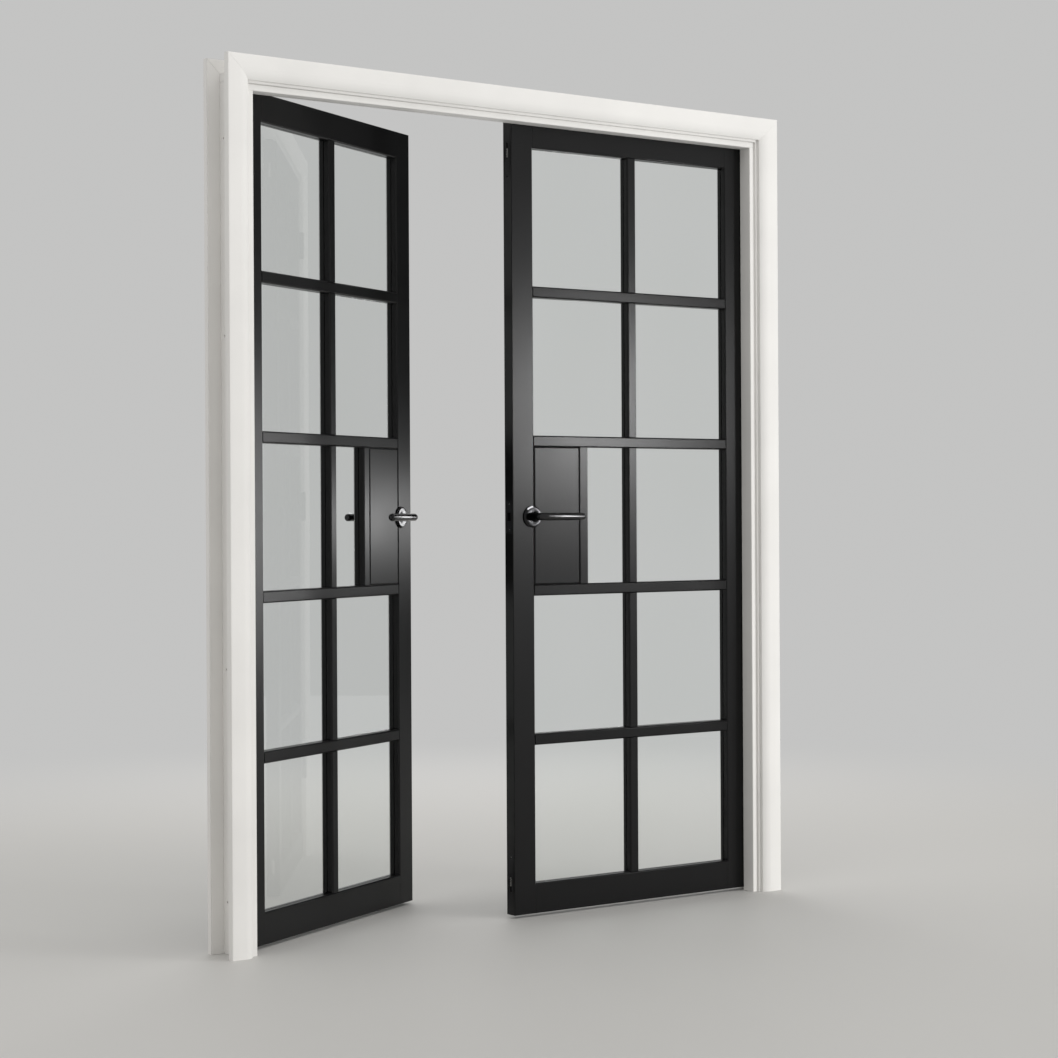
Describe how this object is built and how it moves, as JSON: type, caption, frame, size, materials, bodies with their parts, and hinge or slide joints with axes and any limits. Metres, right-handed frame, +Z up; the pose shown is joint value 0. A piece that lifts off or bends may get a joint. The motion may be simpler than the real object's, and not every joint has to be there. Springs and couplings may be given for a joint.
{
  "type": "french doors",
  "caption": "Pair of glazed timber doors in a white moulded frame, small panes, solid lock blocks, round levers, latch, flush bolts and butt hinges.",
  "frame": {"origin": "middle of the doorway at floor level, in the plane of the closed leaves' near faces", "axes": "+Z up, +Y through the doorway, the way the leaves open, +X along it to the right seen from the near side"},
  "size_m": [1.658, 0.474, 2.055],
  "materials": {
    "leaf_black": "satin black paint",
    "frame_white": "satin white paint",
    "glass": "clear",
    "handle_black": "polished black",
    "fittings_black": "satin black",
    "steel": "satin"
  },
  "bodies": {
    "frame": {"left_jamb": "frame_white", "right_jamb": "frame_white", "head_jamb": "frame_white", "left_stop": "frame_white", "right_stop": "frame_white", "head_stop": "frame_white", "left_architrave_near": "frame_white", "right_architrave_near": "frame_white", "head_architrave_near": "frame_white", "left_architrave_far": "frame_white", "right_architrave_far": "frame_white", "head_architrave_far": "frame_white", "bolt_keep": "fittings_black", "left_jamb_hinge_plates": "fittings_black", "right_jamb_hinge_plates": "fittings_black", "left_hinge_pins": "fittings_black", "right_hinge_pins": "fittings_black", "frame_screws": "steel"},
    "left_leaf": {"left_meeting_stile": "leaf_black", "left_hinge_stile": "leaf_black", "left_top_rail": "leaf_black", "left_bottom_rail": "leaf_black", "left_cross_bars": "leaf_black", "left_upright_bars": "leaf_black", "left_lock_block": "leaf_black", "left_lock_bar": "leaf_black", "left_glass": "glass", "left_beads": "leaf_black", "left_leaf_hinge_plates": "fittings_black", "left_leaf_screws": "steel", "left_roses": "handle_black", "left_rose_bolts": "steel", "latch_case": "fittings_black"},
    "right_leaf": {"right_meeting_stile": "leaf_black", "right_hinge_stile": "leaf_black", "right_top_rail": "leaf_black", "right_bottom_rail": "leaf_black", "right_cross_bars": "leaf_black", "right_upright_bars": "leaf_black", "right_lock_block": "leaf_black", "right_lock_bar": "leaf_black", "right_glass": "glass", "right_beads": "leaf_black", "right_leaf_hinge_plates": "fittings_black", "right_leaf_screws": "steel", "right_roses": "handle_black", "right_rose_bolts": "steel", "strike_plate": "fittings_black", "bolt_bodies": "fittings_black"},
    "left_lever": {"left_lever_near": "handle_black", "left_lever_far": "handle_black", "left_spindle": "steel", "latch_follower": "steel"},
    "right_lever": {"right_lever_near": "handle_black", "right_lever_far": "handle_black", "right_spindle": "steel"},
    "latch_bolt": {"latch_bolt": "steel"},
    "top_bolt": {"top_bolt": "steel"},
    "bottom_bolt": {"bottom_bolt": "steel"}
  },
  "joints": [
    {"name": "left_leaf_hinge", "type": "hinge", "parent": "frame", "child": "left_leaf", "pos_m": [-0.76475, 0.041, 0], "axis": [0, 0, 1], "range_deg": [-27.5, 112.5]},
    {"name": "right_leaf_hinge", "type": "hinge", "parent": "frame", "child": "right_leaf", "pos_m": [0.76475, 0.041, 0], "axis": [0, 0, -1], "range_deg": [0, 140]},
    {"name": "left_lever_turn", "type": "hinge", "parent": "left_leaf", "child": "left_lever", "pos_m": [-0.12745, 0.34626, 1], "axis": [0.4617, -0.887, 0], "range_deg": [0, 40], "stiffness_Nm_per_rad": 1, "springref_deg": -45.84},
    {"name": "latch_slide", "type": "slide", "parent": "left_leaf", "child": "latch_bolt", "axis": [-0.887, -0.4617, 0], "range_m": [0, 0.011]},
    {"name": "right_lever_turn", "type": "hinge", "parent": "right_leaf", "child": "right_lever", "pos_m": [0.0585, 0.0175, 1], "axis": [0, 1, 0], "range_deg": [0, 40], "stiffness_Nm_per_rad": 1, "springref_deg": -45.84},
    {"name": "top_bolt_slide", "type": "slide", "parent": "right_leaf", "child": "top_bolt", "axis": [0, 0, 1], "range_m": [0, 0.015]},
    {"name": "bottom_bolt_slide", "type": "slide", "parent": "right_leaf", "child": "bottom_bolt", "axis": [0, 0, -1], "range_m": [0, 0.015]}
  ],
  "couplings": [
    {"joint": "latch_slide", "follows": "left_lever_turn", "m_per_rad": 0.01575}
  ]
}
